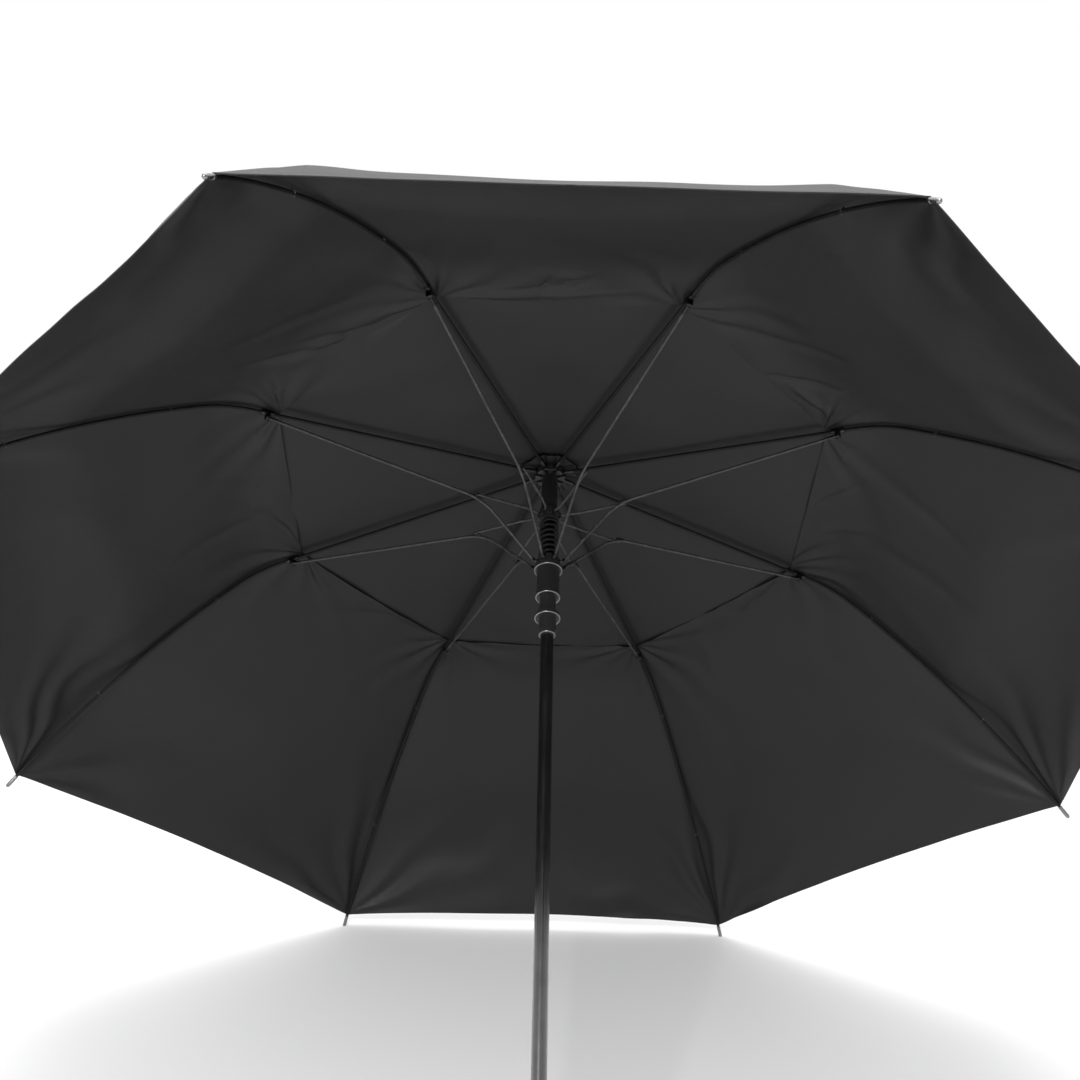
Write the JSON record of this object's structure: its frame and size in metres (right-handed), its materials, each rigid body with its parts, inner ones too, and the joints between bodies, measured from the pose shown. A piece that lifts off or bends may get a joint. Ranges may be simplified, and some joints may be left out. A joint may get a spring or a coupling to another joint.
{
  "type": "golf umbrella",
  "caption": "Automatic golf umbrella with a vented double canopy on bending ribs, a sliding runner with stretchers and struts, and a straight grip.",
  "frame": {"origin": "middle of the handle's bottom face, on the shaft's axis", "axes": "+Z along the shaft from the handle to the ferrule; the push button faces -Y; eight ribs at 22.5 degrees from the X and Y axes and every 45 degrees on"},
  "size_m": [1.2592, 1.2592, 1.02],
  "materials": {
    "black_steel": "gloss black",
    "black_plastic": "satin black moulding",
    "button_plastic": "gloss black",
    "grip_foam": "matte foam",
    "fibreglass": "smooth black fibreglass",
    "spring_steel": "blackened spring wire",
    "canopy_cloth": "taut woven cloth with a slight sheen"
  },
  "bodies": {
    "stick": {"shaft_tube": "black_steel", "crown_notch": "black_plastic", "top_cap": "black_plastic", "ferrule": "black_plastic", "handle_grip": "grip_foam", "handle_collar": "black_plastic", "end_cap": "black_plastic", "vent_canopy": "canopy_cloth"},
    "runner_body": {"runner": "black_plastic", "buffer_spring": "spring_steel"},
    "slider_body": {"strut_slider": "black_plastic"},
    "button_body": {"push_button": "button_plastic"},
    "inner_rib_0": {"rib_inner_0": "fibreglass"},
    "outer_rib_0": {"rib_outer_0": "fibreglass", "gore_0": "canopy_cloth"},
    "stretcher_rod_0": {"stretcher_0": "fibreglass"},
    "arm_rod_0": {"stretcher_arm_0": "fibreglass"},
    "strut_rod_0": {"strut_0": "black_steel"},
    "inner_rib_1": {"rib_inner_1": "fibreglass"},
    "outer_rib_1": {"rib_outer_1": "fibreglass", "gore_1": "canopy_cloth"},
    "stretcher_rod_1": {"stretcher_1": "fibreglass"},
    "arm_rod_1": {"stretcher_arm_1": "fibreglass"},
    "strut_rod_1": {"strut_1": "black_steel"},
    "inner_rib_2": {"rib_inner_2": "fibreglass"},
    "outer_rib_2": {"rib_outer_2": "fibreglass", "gore_2": "canopy_cloth"},
    "stretcher_rod_2": {"stretcher_2": "fibreglass"},
    "arm_rod_2": {"stretcher_arm_2": "fibreglass"},
    "strut_rod_2": {"strut_2": "black_steel"},
    "inner_rib_3": {"rib_inner_3": "fibreglass"},
    "outer_rib_3": {"rib_outer_3": "fibreglass", "gore_3": "canopy_cloth"},
    "stretcher_rod_3": {"stretcher_3": "fibreglass"},
    "arm_rod_3": {"stretcher_arm_3": "fibreglass"},
    "strut_rod_3": {"strut_3": "black_steel"},
    "inner_rib_4": {"rib_inner_4": "fibreglass"},
    "outer_rib_4": {"rib_outer_4": "fibreglass", "gore_4": "canopy_cloth"},
    "stretcher_rod_4": {"stretcher_4": "fibreglass"},
    "arm_rod_4": {"stretcher_arm_4": "fibreglass"},
    "strut_rod_4": {"strut_4": "black_steel"},
    "inner_rib_5": {"rib_inner_5": "fibreglass"},
    "outer_rib_5": {"rib_outer_5": "fibreglass", "gore_5": "canopy_cloth"},
    "stretcher_rod_5": {"stretcher_5": "fibreglass"},
    "arm_rod_5": {"stretcher_arm_5": "fibreglass"},
    "strut_rod_5": {"strut_5": "black_steel"},
    "inner_rib_6": {"rib_inner_6": "fibreglass"},
    "outer_rib_6": {"rib_outer_6": "fibreglass", "gore_6": "canopy_cloth"},
    "stretcher_rod_6": {"stretcher_6": "fibreglass"},
    "arm_rod_6": {"stretcher_arm_6": "fibreglass"},
    "strut_rod_6": {"strut_6": "black_steel"},
    "inner_rib_7": {"rib_inner_7": "fibreglass"},
    "outer_rib_7": {"rib_outer_7": "fibreglass", "gore_7": "canopy_cloth"},
    "stretcher_rod_7": {"stretcher_7": "fibreglass"},
    "arm_rod_7": {"stretcher_arm_7": "fibreglass"},
    "strut_rod_7": {"strut_7": "black_steel"}
  },
  "joints": [
    {"name": "runner_slide", "type": "slide", "parent": "stick", "child": "runner_body", "axis": [0, 0, -1], "range_m": [0, 0.53573], "deforming": ["gore_0", "gore_1", "gore_2", "gore_3", "gore_4", "gore_5", "gore_6", "gore_7", "vent_canopy"]},
    {"name": "slider_slide", "type": "slide", "parent": "stick", "child": "slider_body", "axis": [0, 0, -1], "range_m": [0, 0.43442]},
    {"name": "button_press", "type": "slide", "parent": "stick", "child": "button_body", "axis": [0, 1, 0], "range_m": [0, 0.0025], "stiffness_N_per_m": 600, "springref_m": -0.002},
    {"name": "crown_hinge_0", "type": "hinge", "parent": "stick", "child": "inner_rib_0", "pos_m": [-0.00505, -0.0122, 0.952], "axis": [0.9239, -0.3827, 0], "range_deg": [0, 80.81]},
    {"name": "rib_bend_0", "type": "hinge", "parent": "inner_rib_0", "child": "outer_rib_0", "pos_m": [-0.13283, -0.32068, 0.91455], "axis": [0.9239, -0.3827, 0], "range_deg": [-26.53, 0]},
    {"name": "stretcher_hinge_0", "type": "hinge", "parent": "inner_rib_0", "child": "stretcher_rod_0", "pos_m": [-0.12762, -0.30811, 0.90983], "axis": [0.9239, -0.3827, 0], "range_deg": [-164.86, 0]},
    {"name": "rod_bend_0", "type": "hinge", "parent": "stretcher_rod_0", "child": "arm_rod_0", "pos_m": [-0.03127, -0.07548, 0.8861], "axis": [0.9239, -0.3827, 0], "range_deg": [0, 41.13]},
    {"name": "strut_hinge_0", "type": "hinge", "parent": "stretcher_rod_0", "child": "strut_rod_0", "pos_m": [-0.03431, -0.08284, 0.88685], "axis": [0.9239, -0.3827, 0], "range_deg": [0, 170.86]},
    {"name": "crown_hinge_1", "type": "hinge", "parent": "stick", "child": "inner_rib_1", "pos_m": [0.00505, -0.0122, 0.952], "axis": [0.9239, 0.3827, 0], "range_deg": [0, 80.81]},
    {"name": "rib_bend_1", "type": "hinge", "parent": "inner_rib_1", "child": "outer_rib_1", "pos_m": [0.13283, -0.32068, 0.91455], "axis": [0.9239, 0.3827, 0], "range_deg": [-26.53, 0]},
    {"name": "stretcher_hinge_1", "type": "hinge", "parent": "inner_rib_1", "child": "stretcher_rod_1", "pos_m": [0.12762, -0.30811, 0.90983], "axis": [0.9239, 0.3827, 0], "range_deg": [-164.86, 0]},
    {"name": "rod_bend_1", "type": "hinge", "parent": "stretcher_rod_1", "child": "arm_rod_1", "pos_m": [0.03127, -0.07548, 0.8861], "axis": [0.9239, 0.3827, 0], "range_deg": [0, 41.13]},
    {"name": "strut_hinge_1", "type": "hinge", "parent": "stretcher_rod_1", "child": "strut_rod_1", "pos_m": [0.03431, -0.08284, 0.88685], "axis": [0.9239, 0.3827, 0], "range_deg": [0, 170.86]},
    {"name": "crown_hinge_2", "type": "hinge", "parent": "stick", "child": "inner_rib_2", "pos_m": [0.0122, -0.00505, 0.952], "axis": [0.3827, 0.9239, 0], "range_deg": [0, 80.81]},
    {"name": "rib_bend_2", "type": "hinge", "parent": "inner_rib_2", "child": "outer_rib_2", "pos_m": [0.32068, -0.13283, 0.91455], "axis": [0.3827, 0.9239, 0], "range_deg": [-26.53, 0]},
    {"name": "stretcher_hinge_2", "type": "hinge", "parent": "inner_rib_2", "child": "stretcher_rod_2", "pos_m": [0.30811, -0.12762, 0.90983], "axis": [0.3827, 0.9239, 0], "range_deg": [-164.86, 0]},
    {"name": "rod_bend_2", "type": "hinge", "parent": "stretcher_rod_2", "child": "arm_rod_2", "pos_m": [0.07548, -0.03127, 0.8861], "axis": [0.3827, 0.9239, 0], "range_deg": [0, 41.13]},
    {"name": "strut_hinge_2", "type": "hinge", "parent": "stretcher_rod_2", "child": "strut_rod_2", "pos_m": [0.08284, -0.03431, 0.88685], "axis": [0.3827, 0.9239, 0], "range_deg": [0, 170.86]},
    {"name": "crown_hinge_3", "type": "hinge", "parent": "stick", "child": "inner_rib_3", "pos_m": [0.0122, 0.00505, 0.952], "axis": [-0.3827, 0.9239, 0], "range_deg": [0, 80.81]},
    {"name": "rib_bend_3", "type": "hinge", "parent": "inner_rib_3", "child": "outer_rib_3", "pos_m": [0.32068, 0.13283, 0.91455], "axis": [-0.3827, 0.9239, 0], "range_deg": [-26.53, 0]},
    {"name": "stretcher_hinge_3", "type": "hinge", "parent": "inner_rib_3", "child": "stretcher_rod_3", "pos_m": [0.30811, 0.12762, 0.90983], "axis": [-0.3827, 0.9239, 0], "range_deg": [-164.86, 0]},
    {"name": "rod_bend_3", "type": "hinge", "parent": "stretcher_rod_3", "child": "arm_rod_3", "pos_m": [0.07548, 0.03127, 0.8861], "axis": [-0.3827, 0.9239, 0], "range_deg": [0, 41.13]},
    {"name": "strut_hinge_3", "type": "hinge", "parent": "stretcher_rod_3", "child": "strut_rod_3", "pos_m": [0.08284, 0.03431, 0.88685], "axis": [-0.3827, 0.9239, 0], "range_deg": [0, 170.86]},
    {"name": "crown_hinge_4", "type": "hinge", "parent": "stick", "child": "inner_rib_4", "pos_m": [0.00505, 0.0122, 0.952], "axis": [-0.9239, 0.3827, 0], "range_deg": [0, 80.81]},
    {"name": "rib_bend_4", "type": "hinge", "parent": "inner_rib_4", "child": "outer_rib_4", "pos_m": [0.13283, 0.32068, 0.91455], "axis": [-0.9239, 0.3827, 0], "range_deg": [-26.53, 0]},
    {"name": "stretcher_hinge_4", "type": "hinge", "parent": "inner_rib_4", "child": "stretcher_rod_4", "pos_m": [0.12762, 0.30811, 0.90983], "axis": [-0.9239, 0.3827, 0], "range_deg": [-164.86, 0]},
    {"name": "rod_bend_4", "type": "hinge", "parent": "stretcher_rod_4", "child": "arm_rod_4", "pos_m": [0.03127, 0.07548, 0.8861], "axis": [-0.9239, 0.3827, 0], "range_deg": [0, 41.13]},
    {"name": "strut_hinge_4", "type": "hinge", "parent": "stretcher_rod_4", "child": "strut_rod_4", "pos_m": [0.03431, 0.08284, 0.88685], "axis": [-0.9239, 0.3827, 0], "range_deg": [0, 170.86]},
    {"name": "crown_hinge_5", "type": "hinge", "parent": "stick", "child": "inner_rib_5", "pos_m": [-0.00505, 0.0122, 0.952], "axis": [-0.9239, -0.3827, 0], "range_deg": [0, 80.81]},
    {"name": "rib_bend_5", "type": "hinge", "parent": "inner_rib_5", "child": "outer_rib_5", "pos_m": [-0.13283, 0.32068, 0.91455], "axis": [-0.9239, -0.3827, 0], "range_deg": [-26.53, 0]},
    {"name": "stretcher_hinge_5", "type": "hinge", "parent": "inner_rib_5", "child": "stretcher_rod_5", "pos_m": [-0.12762, 0.30811, 0.90983], "axis": [-0.9239, -0.3827, 0], "range_deg": [-164.86, 0]},
    {"name": "rod_bend_5", "type": "hinge", "parent": "stretcher_rod_5", "child": "arm_rod_5", "pos_m": [-0.03127, 0.07548, 0.8861], "axis": [-0.9239, -0.3827, 0], "range_deg": [0, 41.13]},
    {"name": "strut_hinge_5", "type": "hinge", "parent": "stretcher_rod_5", "child": "strut_rod_5", "pos_m": [-0.03431, 0.08284, 0.88685], "axis": [-0.9239, -0.3827, 0], "range_deg": [0, 170.86]},
    {"name": "crown_hinge_6", "type": "hinge", "parent": "stick", "child": "inner_rib_6", "pos_m": [-0.0122, 0.00505, 0.952], "axis": [-0.3827, -0.9239, 0], "range_deg": [0, 80.81]},
    {"name": "rib_bend_6", "type": "hinge", "parent": "inner_rib_6", "child": "outer_rib_6", "pos_m": [-0.32068, 0.13283, 0.91455], "axis": [-0.3827, -0.9239, 0], "range_deg": [-26.53, 0]},
    {"name": "stretcher_hinge_6", "type": "hinge", "parent": "inner_rib_6", "child": "stretcher_rod_6", "pos_m": [-0.30811, 0.12762, 0.90983], "axis": [-0.3827, -0.9239, 0], "range_deg": [-164.86, 0]},
    {"name": "rod_bend_6", "type": "hinge", "parent": "stretcher_rod_6", "child": "arm_rod_6", "pos_m": [-0.07548, 0.03127, 0.8861], "axis": [-0.3827, -0.9239, 0], "range_deg": [0, 41.13]},
    {"name": "strut_hinge_6", "type": "hinge", "parent": "stretcher_rod_6", "child": "strut_rod_6", "pos_m": [-0.08284, 0.03431, 0.88685], "axis": [-0.3827, -0.9239, 0], "range_deg": [0, 170.86]},
    {"name": "crown_hinge_7", "type": "hinge", "parent": "stick", "child": "inner_rib_7", "pos_m": [-0.0122, -0.00505, 0.952], "axis": [0.3827, -0.9239, 0], "range_deg": [0, 80.81]},
    {"name": "rib_bend_7", "type": "hinge", "parent": "inner_rib_7", "child": "outer_rib_7", "pos_m": [-0.32068, -0.13283, 0.91455], "axis": [0.3827, -0.9239, 0], "range_deg": [-26.53, 0]},
    {"name": "stretcher_hinge_7", "type": "hinge", "parent": "inner_rib_7", "child": "stretcher_rod_7", "pos_m": [-0.30811, -0.12762, 0.90983], "axis": [0.3827, -0.9239, 0], "range_deg": [-164.86, 0]},
    {"name": "rod_bend_7", "type": "hinge", "parent": "stretcher_rod_7", "child": "arm_rod_7", "pos_m": [-0.07548, -0.03127, 0.8861], "axis": [0.3827, -0.9239, 0], "range_deg": [0, 41.13]},
    {"name": "strut_hinge_7", "type": "hinge", "parent": "stretcher_rod_7", "child": "strut_rod_7", "pos_m": [-0.08284, -0.03431, 0.88685], "axis": [0.3827, -0.9239, 0], "range_deg": [0, 170.86]}
  ],
  "couplings": [
    {"joint": "slider_slide", "follows": "runner_slide", "ratio": 0.80997},
    {"joint": "crown_hinge_0", "follows": "runner_slide", "rad_per_m": 2.6311},
    {"joint": "rib_bend_0", "follows": "runner_slide", "rad_per_m": -0.86255},
    {"joint": "stretcher_hinge_0", "follows": "runner_slide", "rad_per_m": -5.3693},
    {"joint": "rod_bend_0", "follows": "runner_slide", "rad_per_m": 1.3385},
    {"joint": "strut_hinge_0", "follows": "runner_slide", "rad_per_m": 5.5647},
    {"joint": "crown_hinge_1", "follows": "runner_slide", "rad_per_m": 2.6311},
    {"joint": "rib_bend_1", "follows": "runner_slide", "rad_per_m": -0.86255},
    {"joint": "stretcher_hinge_1", "follows": "runner_slide", "rad_per_m": -5.3693},
    {"joint": "rod_bend_1", "follows": "runner_slide", "rad_per_m": 1.3385},
    {"joint": "strut_hinge_1", "follows": "runner_slide", "rad_per_m": 5.5647},
    {"joint": "crown_hinge_2", "follows": "runner_slide", "rad_per_m": 2.6311},
    {"joint": "rib_bend_2", "follows": "runner_slide", "rad_per_m": -0.86255},
    {"joint": "stretcher_hinge_2", "follows": "runner_slide", "rad_per_m": -5.3693},
    {"joint": "rod_bend_2", "follows": "runner_slide", "rad_per_m": 1.3385},
    {"joint": "strut_hinge_2", "follows": "runner_slide", "rad_per_m": 5.5647},
    {"joint": "crown_hinge_3", "follows": "runner_slide", "rad_per_m": 2.6311},
    {"joint": "rib_bend_3", "follows": "runner_slide", "rad_per_m": -0.86255},
    {"joint": "stretcher_hinge_3", "follows": "runner_slide", "rad_per_m": -5.3693},
    {"joint": "rod_bend_3", "follows": "runner_slide", "rad_per_m": 1.3385},
    {"joint": "strut_hinge_3", "follows": "runner_slide", "rad_per_m": 5.5647},
    {"joint": "crown_hinge_4", "follows": "runner_slide", "rad_per_m": 2.6311},
    {"joint": "rib_bend_4", "follows": "runner_slide", "rad_per_m": -0.86255},
    {"joint": "stretcher_hinge_4", "follows": "runner_slide", "rad_per_m": -5.3693},
    {"joint": "rod_bend_4", "follows": "runner_slide", "rad_per_m": 1.3385},
    {"joint": "strut_hinge_4", "follows": "runner_slide", "rad_per_m": 5.5647},
    {"joint": "crown_hinge_5", "follows": "runner_slide", "rad_per_m": 2.6311},
    {"joint": "rib_bend_5", "follows": "runner_slide", "rad_per_m": -0.86255},
    {"joint": "stretcher_hinge_5", "follows": "runner_slide", "rad_per_m": -5.3693},
    {"joint": "rod_bend_5", "follows": "runner_slide", "rad_per_m": 1.3385},
    {"joint": "strut_hinge_5", "follows": "runner_slide", "rad_per_m": 5.5647},
    {"joint": "crown_hinge_6", "follows": "runner_slide", "rad_per_m": 2.6311},
    {"joint": "rib_bend_6", "follows": "runner_slide", "rad_per_m": -0.86255},
    {"joint": "stretcher_hinge_6", "follows": "runner_slide", "rad_per_m": -5.3693},
    {"joint": "rod_bend_6", "follows": "runner_slide", "rad_per_m": 1.3385},
    {"joint": "strut_hinge_6", "follows": "runner_slide", "rad_per_m": 5.5647},
    {"joint": "crown_hinge_7", "follows": "runner_slide", "rad_per_m": 2.6311},
    {"joint": "rib_bend_7", "follows": "runner_slide", "rad_per_m": -0.86255},
    {"joint": "stretcher_hinge_7", "follows": "runner_slide", "rad_per_m": -5.3693},
    {"joint": "rod_bend_7", "follows": "runner_slide", "rad_per_m": 1.3385},
    {"joint": "strut_hinge_7", "follows": "runner_slide", "rad_per_m": 5.5647}
  ]
}
